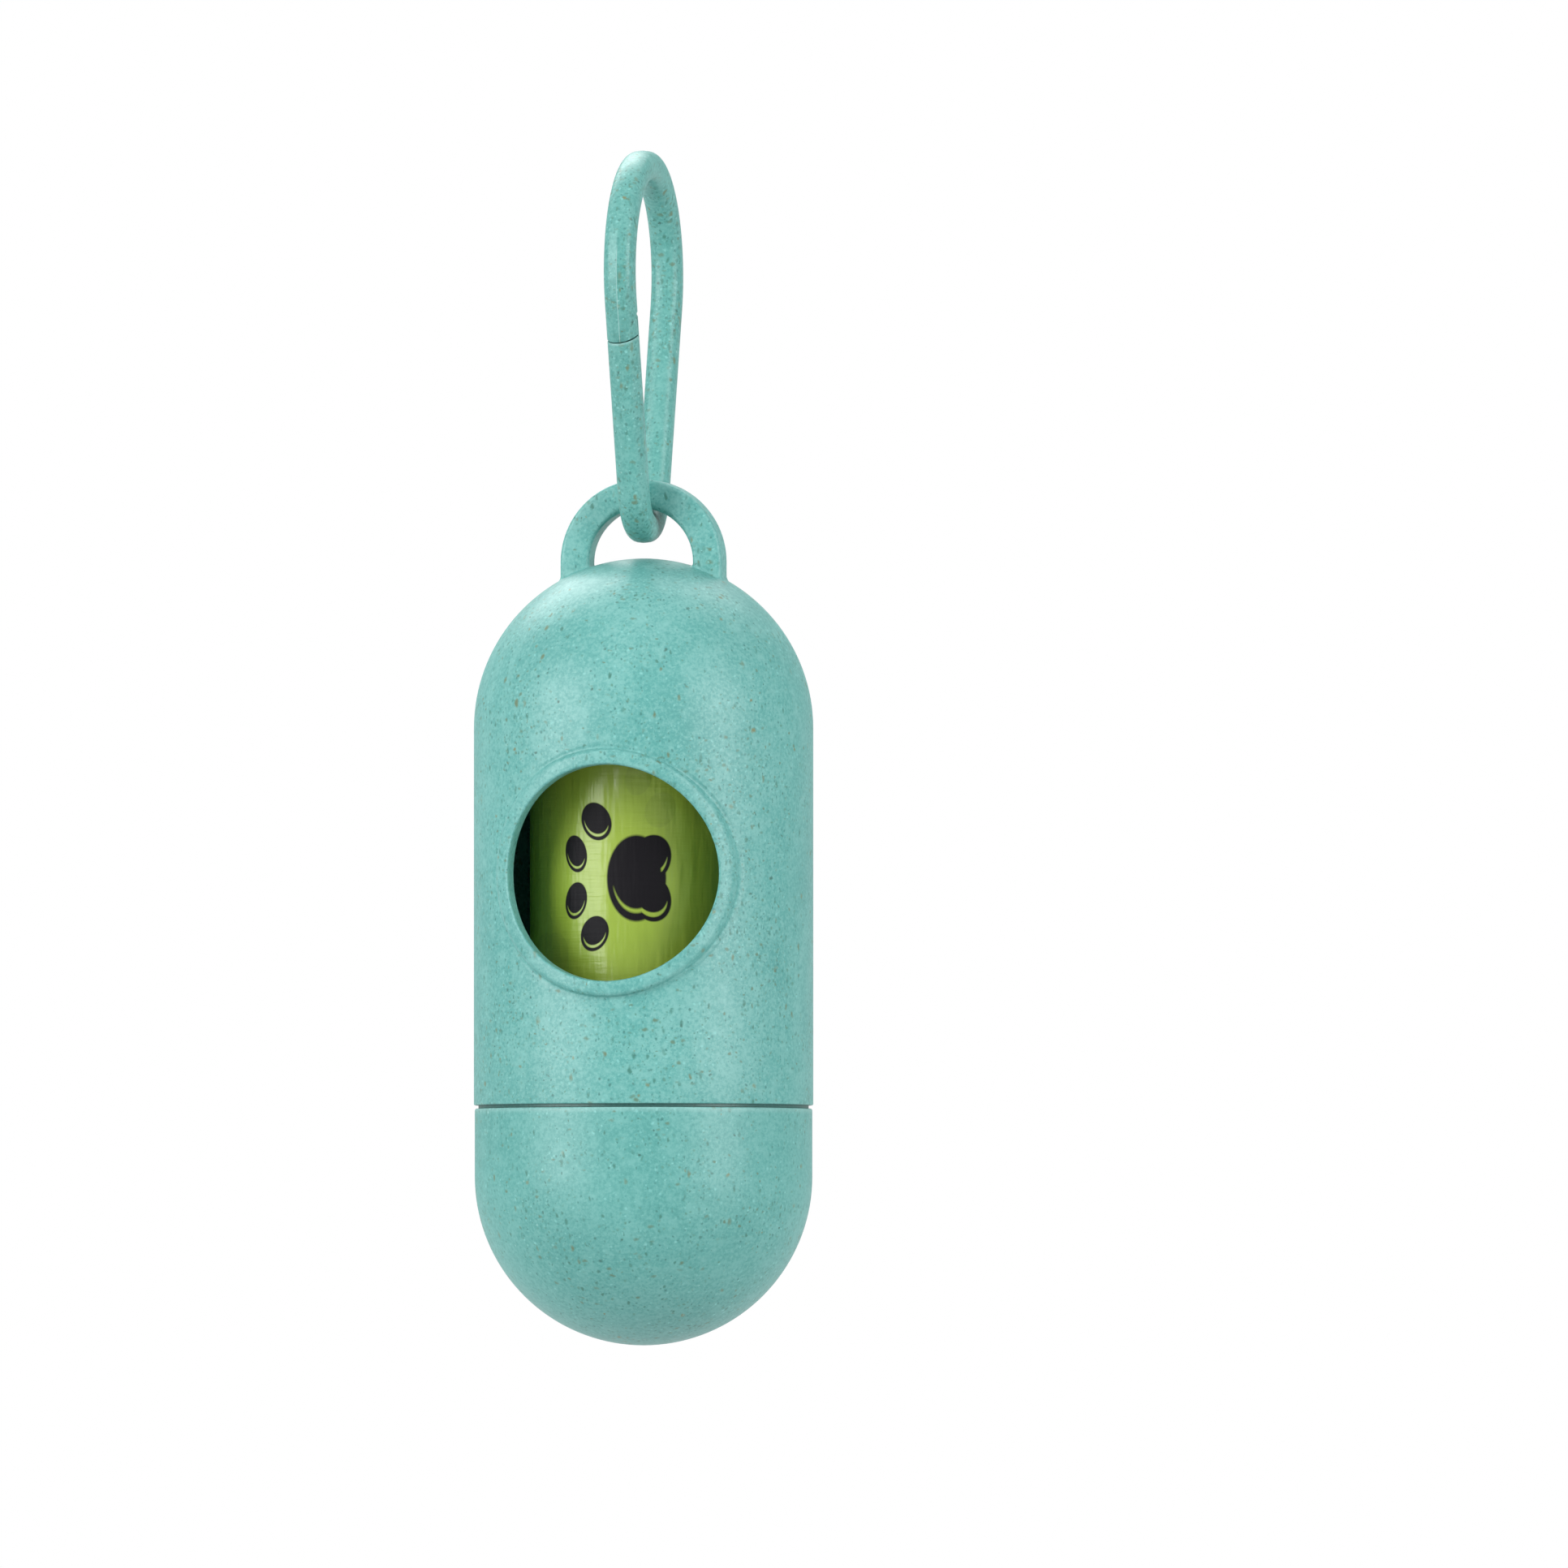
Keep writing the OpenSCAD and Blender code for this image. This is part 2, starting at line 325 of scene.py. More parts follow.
# The loop's bar is nearly square in section. Under the top of its arch it is rounder, because
# the clip's small end swings there, and its feet run out onto the dome in a small fillet.
loop_z = crown_z - 0.4
loop_mid_r = 7.4
loop_half_w = 1.6
loop_half_d = 1.65
loop_round = 0.45
loop_round_under = 0.95
under_half_angle = 18
under_fade_angle = 25
loop_fillet = 0.45
fillet_sunk = 0.03
loop_sunk = 0.9
arch_steps = 48


def loop_section(inner_round, outer_round=loop_round, steps=6):
    """Corners of the bar as (outwards, depth), with how far each is rounded."""
    points = []
    for side, depth, start, size in (
            (1, 1, 0, outer_round), (-1, 1, 90, inner_round),
            (-1, -1, 180, inner_round), (1, -1, 270, outer_round)):
        points += corner(
            side * (loop_half_w - size), depth * (loop_half_d - size), size, start, start + 90, steps)
    return points


def dome_height(x, y):
    """The height of the dome's outside over a point of the plan."""
    return dome_z + math.sqrt(shell_r ** 2 - x * x - y * y)


def loop_foot(side):
    """Rows of one leg, from the end of the arch down into the dome's wall."""
    section = loop_section(loop_round)
    leg = [(side * (loop_mid_r + out), depth) for out, depth in section]
    middle_x = side * loop_mid_r
    rows = []
    for share in (0.34, 0.67, 1):
        rows.append([(x, y, loop_z + share * (dome_height(x, y) + loop_fillet - loop_z))
                     for x, y in leg])
    steps = 5
    for i in range(1, steps + 1):
        turn = math.pi / 2 * i / steps
        reach = loop_fillet * (1 - math.cos(turn))
        rise = loop_fillet * (1 - math.sin(turn)) - fillet_sunk * i / steps
        row = []
        for x, y in leg:
            away = Vector((x - middle_x, y))
            away = Vector((max(-1, min(1, away.x / (loop_half_w * 0.75))),
                           max(-1, min(1, away.y / (loop_half_d * 0.8))))).normalized() * reach
            row.append((x + away.x, y + away.y, dome_height(x + away.x, y + away.y) + rise))
        rows.append(row)
    rows.append([(middle_x, 0, dome_height(middle_x, 0) - loop_sunk)] * len(section))
    return rows


arch_rows = []
for i in range(arch_steps + 1):
    turn = math.pi - math.pi * i / arch_steps
    from_top = abs(math.degrees(turn) - 90)
    faded = max(0, min(1, (from_top - under_half_angle) / under_fade_angle))
    under = loop_round_under - (loop_round_under - loop_round) * faded
    arch_rows.append([
        ((loop_mid_r + out) * math.cos(turn), depth, loop_z + (loop_mid_r + out) * math.sin(turn))
        for out, depth in loop_section(under)])
housing_sheets.append((loop_foot(-1)[::-1] + arch_rows + loop_foot(1), True))

# The post that centres the roll: two crossed ribs, narrower and thinner towards the tip
post_top = crown_z - shell_wall / 2
post_tip = crown_z - 26
for across in (Vector((1, 0)), Vector((0, 1))):
    thin = Vector((-across.y, across.x))
    rows = [[(0, 0, post_top)] * 4]
    for z, half, thick in ((post_top, 2.5, 0.6), (post_tip + 0.3, 1.1, 0.5), (post_tip, 0.8, 0.3)):
        plan = [across * a * half + thin * b * thick for a, b in ((1, 1), (-1, 1), (-1, -1), (1, -1))]
        rows.append([(point.x, point.y, z) for point in plan])
    rows.append([(0, 0, post_tip)] * 4)
    housing_sheets.append((rows, True))

housing = solid("housing", housing_sheets)


def paint_edge_light_and_shade(piece, tone, is_edge):
    """Paints light or shade on the points of a piece that the rule picks: above 0 is a painted
    highlight, below 0 painted shade.
    """
    mark = piece.data.attributes.new("edge", "FLOAT", "POINT")
    for vertex, value in zip(piece.data.vertices, mark.data):
        x, y, z = vertex.co / mm
        value.value = tone * is_edge(x, y, z)


def near_ring(r, height, reach):
    """A rule that picks the points near the circle of this radius and height."""
    return lambda x, y, z: math.hypot(math.hypot(x, y) - r, z - height) < reach


# Painted shade in the seam: the flange under the housing's edge, inside the gap above the cap, is
# darkened
paint_edge_light_and_shade(housing, tone=-1, is_edge=near_ring(step_r, (shoulder_z + seam_z) / 2, reach=0.25))


def mix_colour(tree, share, first, second):
    """Adds a node that mixes in a share of the second colour, and gives its result."""
    made = node(tree, "ShaderNodeMix", _0=share, _6=first, _7=second)
    made.data_type = "RGBA"
    return made.outputs[2]


def srgb(red, green, blue):
    """A colour picked in 0 to 255 steps, as the shader wants it."""
    share = [c / 255 for c in (red, green, blue)]
    return tuple(c / 12.92 if c <= 0.04045 else ((c + 0.055) / 1.055) ** 2.4 for c in share) + (1,)


def flecks(tree, place, scale, stretch, tilt, share, size, crowd):
    """A mask of scattered flecks: share is how many cells hold one, size its radius in cells."""
    turned = node(tree, "ShaderNodeMapping", Vector=place, Rotation=tilt, Scale=stretch)
    cells = node(tree, "ShaderNodeTexVoronoi", Vector=turned.outputs[0], Scale=scale)
    lots = tree.nodes.new("ShaderNodeSeparateColor")
    tree.links.new(cells.outputs["Color"], lots.inputs[0])
    held = math_node(tree, "LESS_THAN", lots.outputs[0], math_node(tree, "MULTIPLY", crowd, share))
    reach = math_node(tree, "MULTIPLY_ADD", lots.outputs[1], size, size * 0.5)
    inside = math_node(tree, "DIVIDE", cells.outputs["Distance"], reach)
    edge = node(tree, "ShaderNodeMapRange", Value=inside, From_Min=1.1, From_Max=0.4)
    lit = math_node(tree, "MULTIPLY", edge.outputs[0], held)
    strength = math_node(tree, "MULTIPLY_ADD", lots.outputs[2], 0.6, 0.5)
    return math_node(tree, "MULTIPLY", lit, strength)


def flecked_plastic(name, colour, light, dark, offset, straw=1.0):
    """Matte plastic filled with straw: soft clouds of colour, and small olive and white flecks."""
    paint = bpy.data.materials.new(name)
    paint.use_nodes = True
    tree = paint.node_tree
    tree.nodes.clear()
    at = tree.nodes.new("ShaderNodeTexCoord").outputs["Object"]
    shift = node(tree, "ShaderNodeMapping", Vector=at, Location=offset).outputs[0]
    wobble = node(tree, "ShaderNodeTexNoise", Vector=shift, Scale=1400, Detail=2)
    bent = node(tree, "ShaderNodeVectorMath", _0=wobble.outputs["Color"], _1=(0.0005, 0.0005, 0.0005))
    bent.operation = "MULTIPLY"
    placed = node(tree, "ShaderNodeVectorMath", _0=shift, _1=bent.outputs[0]).outputs[0]
    cloud = node(tree, "ShaderNodeTexNoise", Vector=shift, Scale=150, Detail=4, Roughness=0.6)
    drift = node(tree, "ShaderNodeTexNoise", Vector=shift, Scale=45, Detail=2)
    grain = node(tree, "ShaderNodeTexNoise", Vector=shift, Scale=2600, Detail=3, Roughness=0.7)
    pale = node(tree, "ShaderNodeMapRange", Value=cloud.outputs[0], From_Min=0.42, From_Max=0.72)
    deep = node(tree, "ShaderNodeMapRange", Value=drift.outputs[0], From_Min=0.55, From_Max=0.3)
    body = mix_colour(tree, math_node(tree, "MULTIPLY", pale.outputs[0], 0.75), colour, light)
    body = mix_colour(tree, math_node(tree, "MULTIPLY", deep.outputs[0], 0.6), body, dark)
    for low, high, share, tone in ((0.48, 0.7, 0.85, dark), (0.52, 0.3, 0.8, light)):
        fine = node(tree, "ShaderNodeMapRange", Value=grain.outputs[0], From_Min=low, From_Max=high)
        body = mix_colour(tree, math_node(tree, "MULTIPLY", fine.outputs[0], share), body, tone)
    sand = node(tree, "ShaderNodeTexNoise", Vector=shift, Scale=620, Detail=3, Roughness=0.6)
    pale_sand = node(tree, "ShaderNodeMapRange", Value=sand.outputs[0], From_Min=0.5, From_Max=0.72)
    body = mix_colour(tree, math_node(tree, "MULTIPLY", pale_sand.outputs[0], 0.7), body, light)
    bunch = node(tree, "ShaderNodeTexNoise", Vector=shift, Scale=110, Detail=2)
    crowd = node(tree, "ShaderNodeMapRange", Value=bunch.outputs[0],
                 From_Min=0.35, From_Max=0.68, To_Min=0.25, To_Max=2.0).outputs[0]
    # The kinds of fleck: cells a metre, stretch, tilt, share of cells filled, size and colour
    for scale, stretch, tilt, share, size, tone in (
            (2300, (1, 1, 0.8), (0.4, 0.2, 0), 0.45, 0.27, srgb(66, 128, 122)),
            (1900, (1, 0.6, 1), (0.9, 0.4, 0.1), 0.42, 0.25, srgb(86, 142, 128)),
            (1500, (1, 1, 0.5), (0.3, 0.5, 0.2), 0.42, 0.25, srgb(66, 126, 114)),
            (1350, (0.55, 1, 1), (0.1, 0.9, 0.7), 0.38, 0.23, srgb(92, 128, 108)),
            (760, (1, 1, 0.5), (0.8, 0.1, 0.5), 0.36, 0.16, srgb(100, 124, 98)),
            (700, (1, 0.7, 1), (0.5, 1.2, 0.3), 0.14, 0.15, srgb(116, 126, 92)),
            (900, (1, 0.6, 1), (0.2, 0.3, 1.1), 0.28, 0.14, srgb(56, 104, 94)),
            (1700, (1, 1, 1), (0, 0.6, 0.3), 0.6, 0.24, srgb(122, 188, 183)),
            (800, (1, 1, 1), (0, 0, 0.3), 0.16, 0.09, srgb(150, 200, 195))):
        mask = flecks(tree, placed, scale, stretch, tilt, share * straw, size, crowd)
        body = mix_colour(tree, mask, body, tone)
    # Painted light and shade on the points that carry an edge tone: a pale highlight above 0, dark teal
    # shade below 0
    edge = node(tree, "ShaderNodeAttribute").outputs["Fac"]
    edge.node.attribute_name = "edge"
    for strength, tone in ((0.17, srgb(196, 226, 222)), (-0.75, srgb(12, 62, 56))):
        painted_edge_share = math_node(tree, "MULTIPLY", edge, strength, clamp=True)
        body = mix_colour(tree, painted_edge_share, body, tone)
    rough = node(tree, "ShaderNodeMapRange", Value=cloud.outputs[0],
                 From_Min=0.3, From_Max=0.7, To_Min=0.38, To_Max=0.47)
    bump = node(tree, "ShaderNodeBump", Height=grain.outputs[0], Strength=0.12, Distance=0.00006)
    skin = node(tree, "ShaderNodeBsdfPrincipled", Base_Color=body, Roughness=rough.outputs[0],
                IOR=1.5, Normal=bump.outputs[0])
    node(tree, "ShaderNodeOutputMaterial", Surface=skin.outputs[0])
    return paint


turquoise = srgb(95, 165, 159)
housing_plastic = flecked_plastic(
    "housing_plastic", colour=turquoise, light=srgb(121, 181, 175), dark=srgb(78, 149, 144),
    offset=(0, 0, 0), straw=0.85)
housing.data.materials.append(housing_plastic)
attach(housing, "shell")
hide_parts("body_shell")

# Screw threads. Two ridges wind round the neck, and two more inside the cap run between them,
# each moulded with its own piece. They climb 6 mm a turn, as the cap does when it is turned.
thread_starts = 2
thread_lead = 6.0
thread_base = 1.3
thread_crest = 0.6
thread_rise = 0.65
thread_sunk = 0.15


def thread_tree():
    """Geometry Nodes: a grid bent into a ridge that winds round Z, tapers out and is repeated."""
    tree = bpy.data.node_groups.new("screw_thread", "GeometryNodeTree")
    tree.interface.new_socket("Thread", in_out="OUTPUT", socket_type="NodeSocketGeometry")
    for name in ("Radius", "Rise", "Low", "Start", "Turns", "Lead", "Base", "Crest", "Sunk"):
        tree.interface.new_socket(name, in_out="INPUT", socket_type="NodeSocketFloat")
    tree.interface.new_socket("Starts", in_out="INPUT", socket_type="NodeSocketInt")
    tree.interface.new_socket("Plastic", in_out="INPUT", socket_type="NodeSocketMaterial")
    given = tree.nodes.new("NodeGroupInput").outputs
    along_steps = 160
    sides = 4
    grid = node(tree, "GeometryNodeMeshGrid", Size_X=1.0, Size_Y=1.0)
    grid.inputs["Vertices X"].default_value = along_steps
    grid.inputs["Vertices Y"].default_value = sides + 1
    place = tree.nodes.new("GeometryNodeInputPosition")
    split = node(tree, "ShaderNodeSeparateXYZ", Vector=place.outputs[0])
    along = math_node(tree, "ADD", split.outputs[0], 0.5)
    corner_number = math_node(tree, "MULTIPLY_ADD", split.outputs[1], sides, sides / 2)
    from_end = math_node(tree, "PINGPONG", along, 0.5)
    tapered = node(tree, "ShaderNodeMapRange", Value=from_end, From_Min=0.0, From_Max=0.09)
    tapered.interpolation_type = "SMOOTHSTEP"
    full = tapered.outputs[0]
    # Corners 1 and 2 are the crest, corner 0 and its twin 4 the low foot, corner 3 the high foot
    on_crest = math_node(tree, "COMPARE", corner_number, 1.5, 0.6)
    is_high = math_node(tree, "COMPARE", corner_number, 2.5, 0.6)
    side = math_node(tree, "MULTIPLY_ADD", is_high, 2.0, -1.0)
    crest_less = math_node(tree, "SUBTRACT", given["Crest"], given["Base"])
    width = math_node(tree, "MULTIPLY", on_crest, crest_less)
    width = math_node(tree, "ADD", width, given["Base"])
    offset = math_node(tree, "MULTIPLY", math_node(tree, "MULTIPLY", width, side), 0.5)
    offset = math_node(tree, "MULTIPLY", offset, full)
    height = math_node(tree, "MULTIPLY", math_node(tree, "MULTIPLY", given["Rise"], on_crest), full)
    foot = math_node(tree, "SUBTRACT", 1.0, math_node(tree, "MULTIPLY", on_crest, full))
    height = math_node(tree, "SUBTRACT", height, math_node(tree, "MULTIPLY", foot, given["Sunk"]))
    radius = math_node(tree, "ADD", given["Radius"], height)
    turns = math_node(tree, "MULTIPLY", along, given["Turns"])
    angle = math_node(tree, "ADD", math_node(tree, "MULTIPLY", turns, 2 * math.pi), given["Start"])
    climb = math_node(tree, "MULTIPLY", turns, given["Lead"])
    z = math_node(tree, "ADD", math_node(tree, "ADD", climb, given["Low"]), offset)
    x = math_node(tree, "MULTIPLY", radius, math_node(tree, "COSINE", angle))
    y = math_node(tree, "MULTIPLY", radius, math_node(tree, "SINE", angle))
    wound = node(tree, "ShaderNodeCombineXYZ", X=x, Y=y, Z=z)
    bent = node(tree, "GeometryNodeSetPosition", Geometry=grid.outputs[0], Position=wound.outputs[0])
    sewn = node(tree, "GeometryNodeMergeByDistance", Geometry=bent.outputs[0], Distance=1e-7)
    ring = node(tree, "GeometryNodeMeshLine", Count=given["Starts"], Offset=(0, 0, 0))
    number = tree.nodes.new("GeometryNodeInputIndex")
    share = math_node(tree, "DIVIDE", number.outputs[0], given["Starts"])
    spin = node(tree, "ShaderNodeCombineXYZ", Z=math_node(tree, "MULTIPLY", share, 2 * math.pi))
    copies = node(tree, "GeometryNodeInstanceOnPoints", Points=ring.outputs[0], Instance=sewn.outputs[0],
                  Rotation=spin.outputs[0])
    real = node(tree, "GeometryNodeRealizeInstances", Geometry=copies.outputs[0])
    done = node(tree, "GeometryNodeSetMaterial", Geometry=real.outputs[0], Material=given["Plastic"])
    out = tree.nodes.new("NodeGroupOutput")
    tree.links.new(done.outputs[0], out.inputs[0])
    return tree


def grown(name, tree, values):
    """The mesh that a Geometry Nodes tree makes from these named inputs, as a plain object."""
    piece = bpy.data.objects.new(name, bpy.data.meshes.new(name))
    scene.collection.objects.link(piece)
    modifier = piece.modifiers.new("grow", "NODES")
    modifier.node_group = tree
    for item in tree.interface.items_tree:
        if item.item_type == "SOCKET" and item.in_out == "INPUT":
            modifier[item.identifier] = values[item.name]
    made = bpy.data.meshes.new_from_object(piece.evaluated_get(bpy.context.evaluated_depsgraph_get()))
    piece.modifiers.clear()
    shape = bmesh.new()
    shape.from_mesh(made)
    bmesh.ops.remove_doubles(shape, verts=shape.verts, dist=1e-7)
    bmesh.ops.recalc_face_normals(shape, faces=shape.faces)
    shape.to_mesh(made)
    shape.free()
    made.shade_smooth()
    made.set_sharp_from_angle(angle=math.radians(40))
    made.name = name
    piece.data = made
    return piece


threads = thread_tree()
neck_thread = grown("neck_thread", threads, {
    "Radius": neck_r * mm, "Rise": thread_rise * mm, "Low": (neck_low + 1.0) * mm, "Start": 0.0,
    "Turns": 0.85, "Lead": thread_lead * mm, "Base": thread_base * mm, "Crest": thread_crest * mm,
    "Sunk": thread_sunk * mm, "Starts": thread_starts, "Plastic": housing_plastic})
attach(neck_thread, "shell")

# Screw cap. A round bowl of the same plastic, moulded in one piece, that carries the roll and
# closes the housing. Only a fine open line shows where it meets the housing.
cap_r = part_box("end_cap")[1][0] / mm
bowl_z = cap_bottom / mm + cap_r
skirt_r = cap_r - 1.5
bowl_r = cap_r - 1.8
cap_top_round = 0.22
skirt_round = 0.25
cap_profile = (
    dome(cap_r, bowl_z, -90, 0)
    + [(cap_r, seam_z - 3 * cap_top_round)]
    + corner(cap_r - cap_top_round, seam_z - cap_top_round, cap_top_round, 0, 90, 6)
    + corner(skirt_r + skirt_round, seam_z - skirt_round, skirt_round, 90, 180)
    + [(skirt_r, bowl_z), (bowl_r, bowl_z)]
    + dome(bowl_r, bowl_z, 0, -90)[1:])
screw_cap = solid("screw_cap", [(lathe(cap_profile), True)])
# Painted highlight along the cap's rounded top edge, just under the seam
paint_edge_light_and_shade(
    screw_cap, tone=1,
    is_edge=near_ring(cap_r - cap_top_round, seam_z - cap_top_round, reach=1.1 * cap_top_round))
cap_plastic = flecked_plastic(
    "cap_plastic", colour=turquoise, light=srgb(113, 176, 170), dark=srgb(78, 148, 142),
    offset=(0.37, 0.11, 0.05), straw=0.65)
screw_cap.data.materials.append(cap_plastic)
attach(screw_cap, "cap")
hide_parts("end_cap")

cap_thread = grown("cap_thread", threads, {
    "Radius": skirt_r * mm, "Rise": -thread_rise * mm, "Low": (neck_low + 2.5) * mm, "Start": 0.0,
    "Turns": 0.6, "Lead": thread_lead * mm, "Base": thread_base * mm, "Crest": thread_crest * mm,
    "Sunk": -thread_sunk * mm, "Starts": thread_starts, "Plastic": cap_plastic})
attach(cap_thread, "cap")

# Clip. One plastic moulding, a teardrop of bar with softly flattened sides. Just above the gate
# a fine parting line runs down its outside. The gate and the bar it flexes in are pieces of
# their own, so this one is open on the near side.
bar_r = 1.7
ring_z = -10.0
ring_r = 11.7
bend_r = 5.1
bend_z = ring_z - 22.6
arm_tilt = math.asin((ring_r - bend_r) / (ring_z - bend_z))
arm_len = (ring_z - bend_z) * math.cos(arm_tilt)
lap_top = arm_len - 1.3
lap_low = lap_top - 3.2
lap_gap = 0.14
lap_curve = 0.25
lap_aside = 0.7
flex_low = 2.2
flex_high = 6.8
squareness = 2.5
section_sides = 40
parting_half_w = 0.07
parting_proud = 0.05
end_round = 0.08
bend_steps = 28
ring_steps = 60
plain_ring_steps = 50


def bar_section(parting=0.0):
    """The bar's outline as (across, outwards), with a parting line this proud on its outside."""
    outline = []
    for i in range(section_sides):
        turn = 2 * math.pi * i / section_sides
        reach = [math.copysign(abs(c) ** (2 / squareness), c) for c in (math.cos(turn), math.sin(turn))]
        outline.append((bar_r * reach[0], bar_r * reach[1]))
    top = section_sides // 4
    outline[top] = (0.0, bar_r + parting)
    outline[top - 1] = (parting_half_w, bar_r)
    outline[top + 1] = (-parting_half_w, bar_r)
    return outline


def bar_row(section, y, z, turn):
    """A row of points: the section set square to the bar, outwards at that angle from +Y."""
    return [(x, y + out * math.cos(turn), z + out * math.sin(turn)) for x, out in section]


def bend_row(section, r, z, turn):
    """A row of a round end of the clip, about (0, z)."""
    return bar_row(section, r * math.cos(turn), z + r * math.sin(turn), turn)


def arm_point(up, out=0.0):
    """A point of the near arm's straight, by its distance up from the small end."""
    y = -(bend_r + out) * math.cos(arm_tilt) - up * math.sin(arm_tilt)
    z = bend_z - (bend_r + out) * math.sin(arm_tilt) + up * math.cos(arm_tilt)
    return y, z


def arm_row(section, up):
    """A row of the near arm. up is a height, or a rule that gives one for each place across."""
    rise = up if callable(up) else lambda x: up
    return [(x, *arm_point(rise(x), out)) for x, out in section]


def on_arm(y, z):
    """Where a point lies on the near arm, as its (height, distance outwards of the bar's middle)."""
    up = (z - bend_z) * math.cos(arm_tilt) - y * math.sin(arm_tilt)
    return up, (bend_z - z) * math.sin(arm_tilt) - y * math.cos(arm_tilt) - bend_r


def closed(rows):
    """Closes a tube of rows with a flat face at each end."""
    ends = [[tuple(np.mean(row, axis=0))] * len(row) for row in (rows[0], rows[-1])]
    return [ends[0], *rows, ends[1]]


def lip_end(x):
    """The height on the near arm at which the ring's lip ends, for each place across."""
    return lap_low + 2 * lap_gap + lap_curve * ((x + lap_aside) / bar_r) ** 2


def shoulder(x):
    """The height on the near arm at which the gate's full bar ends, below the lip."""
    return lip_end(x) - lap_gap


def on_parting_line(x, y, z):
    """Picks the crest of the parting line on the near arm, from the ring's side down to the lip."""
    return abs(x) < 0.02 and z < ring_z + 2 and y < 1 - ring_r


bar_full = bar_section(parting_proud)
bar_plain = bar_section()
lip = [(x, max(out, lap_gap / 2)) for x, out in bar_full]
clip_rows = [arm_row(bar_plain, flex_low), arm_row(bar_plain, 1.0)]
for i in range(bend_steps + 1):
    turn = math.pi + arm_tilt + (math.pi - 2 * arm_tilt) * i / bend_steps
    clip_rows.append(bend_row(bar_plain, bend_r, bend_z, turn))
for i in range(ring_steps + 1):
    turn = -arm_tilt + (math.pi + 2 * arm_tilt) * i / ring_steps
    section = bar_full if i > plain_ring_steps else bar_plain
    clip_rows.append(bend_row(section, ring_r, ring_z, turn))
clip_rows += [
    arm_row(bar_full, lap_top), arm_row(lip, lap_top),
    arm_row(lip, lambda x: lip_end(x) + end_round),
    arm_row([(x * 0.95, out * 0.97) for x, out in lip], lip_end)]
clip_ring = solid("clip_ring", [(closed(clip_rows), True)])
# Painted highlight along the crest of the parting line, from the ring's side down to the lip
paint_edge_light_and_shade(clip_ring, tone=2.5, is_edge=on_parting_line)
clip_plastic = flecked_plastic(
    "clip_plastic", colour=srgb(92, 162, 155), light=srgb(111, 174, 167), dark=srgb(75, 144, 137),
    offset=(0.21, 0.43, 0.17), straw=1.5)
clip_ring.data.materials.append(clip_plastic)
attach(clip_ring, "clip")
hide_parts("clip_frame")

# Gate. The straight of the near arm, which is pressed inwards to open the clip. Its thinned tip
# lies behind the lip at the end of the ring, and the two meet in a curved line.
shoulder_round = 0.12
tip_round = 0.3
tip_end = lap_top - 2 * lap_gap
tongue = [(x, min(out, -lap_gap / 2)) for x, out in bar_plain]
gate_rows = [
    arm_row(bar_plain, flex_high), arm_row(bar_plain, lap_low - 1.0),
    arm_row(bar_plain, lambda x: shoulder(x) - 2.5 * shoulder_round),
    arm_row(bar_plain, lambda x: shoulder(x) - shoulder_round),
    arm_row([(x * 0.96, out * 0.96) for x, out in bar_plain], shoulder),
    arm_row(tongue, shoulder), arm_row(tongue, tip_end - tip_round),
    arm_row([(x * 0.9, out * 0.85 - 0.1) for x, out in tongue], tip_end)]
gate_arm = solid("gate_arm", [(closed(gate_rows), True)])


def on_shoulder(x, y, z):
    """Picks the outer edge of the gate's shoulder, below the lip, for a painted highlight."""
    up, out = on_arm(y, z)
    return abs(up - shoulder(x)) < 0.2 and out > 0.1


# Painted highlight along the outer edge of the gate's shoulder
paint_edge_light_and_shade(gate_arm, tone=1, is_edge=on_shoulder)
gate_arm.data.materials.append(clip_plastic)
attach(gate_arm, "gate")
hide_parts("clip_gate")

# Flexing root of the gate. The short length of bar that bends when the gate is pressed. On the
# real clip it is one with the ring and the gate.
flex_steps = 14
flex_rows = [arm_row(bar_plain, flex_low + (flex_high - flex_low) * i / flex_steps)
             for i in range(flex_steps + 1)]
gate_root = solid("gate_root", [(closed(flex_rows), True)])
gate_root.data.materials.append(clip_plastic)
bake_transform(gate_root)

# Core of the roll. A tube of grey card, wound on a slant from two strips, with cut ends. The
# bags are wound on it, and the tip of the housing's post stands in its upper end.
core_low, core_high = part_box("roll_core")
core_r = core_high[0] / mm
core_bore = core_r - 0.8
core_round = 0.15
card_climb = 22
core_profile = (
    corner(core_r - core_round, core_low[2] / mm + core_round, core_round, -90, 0, 3)
    + corner(core_r - core_round, core_high[2] / mm - core_round, core_round, 0, 90, 3)
    + corner(core_bore + core_round, core_high[2] / mm - core_round, core_round, 90, 180, 3)
    + corner(core_bore + core_round, core_low[2] / mm + core_round, core_round, 180, 270, 3))
card_core = solid("card_core", [(lathe(core_profile + core_profile[:1]), True)])
card = bpy.data.materials.new("grey_card")
card.use_nodes = True
tree = card.node_tree
tree.nodes.clear()
at = tree.nodes.new("ShaderNodeTexCoord").outputs["Object"]
fibre = node(tree, "ShaderNodeTexNoise", Vector=at, Scale=1800, Detail=4, Roughness=0.7)
blotch = node(tree, "ShaderNodeTexNoise", Vector=at, Scale=260, Detail=2)
pulp = mix_colour(tree, fibre.outputs[0], srgb(150, 143, 128), srgb(196, 189, 172))
pulp = mix_colour(tree, math_node(tree, "MULTIPLY", blotch.outputs[0], 0.5), pulp, srgb(170, 160, 140))
split = node(tree, "ShaderNodeSeparateXYZ", Vector=at)
around = math_node(
    tree, "DIVIDE", math_node(tree, "ARCTAN2", split.outputs[1], split.outputs[0]), 2 * math.pi)
slant = math_node(tree, "MULTIPLY_ADD", split.outputs[2], 1 / (card_climb * mm), around)
seam = math_node(tree, "LESS_THAN", math_node(tree, "PINGPONG", slant, 0.5), 0.012)
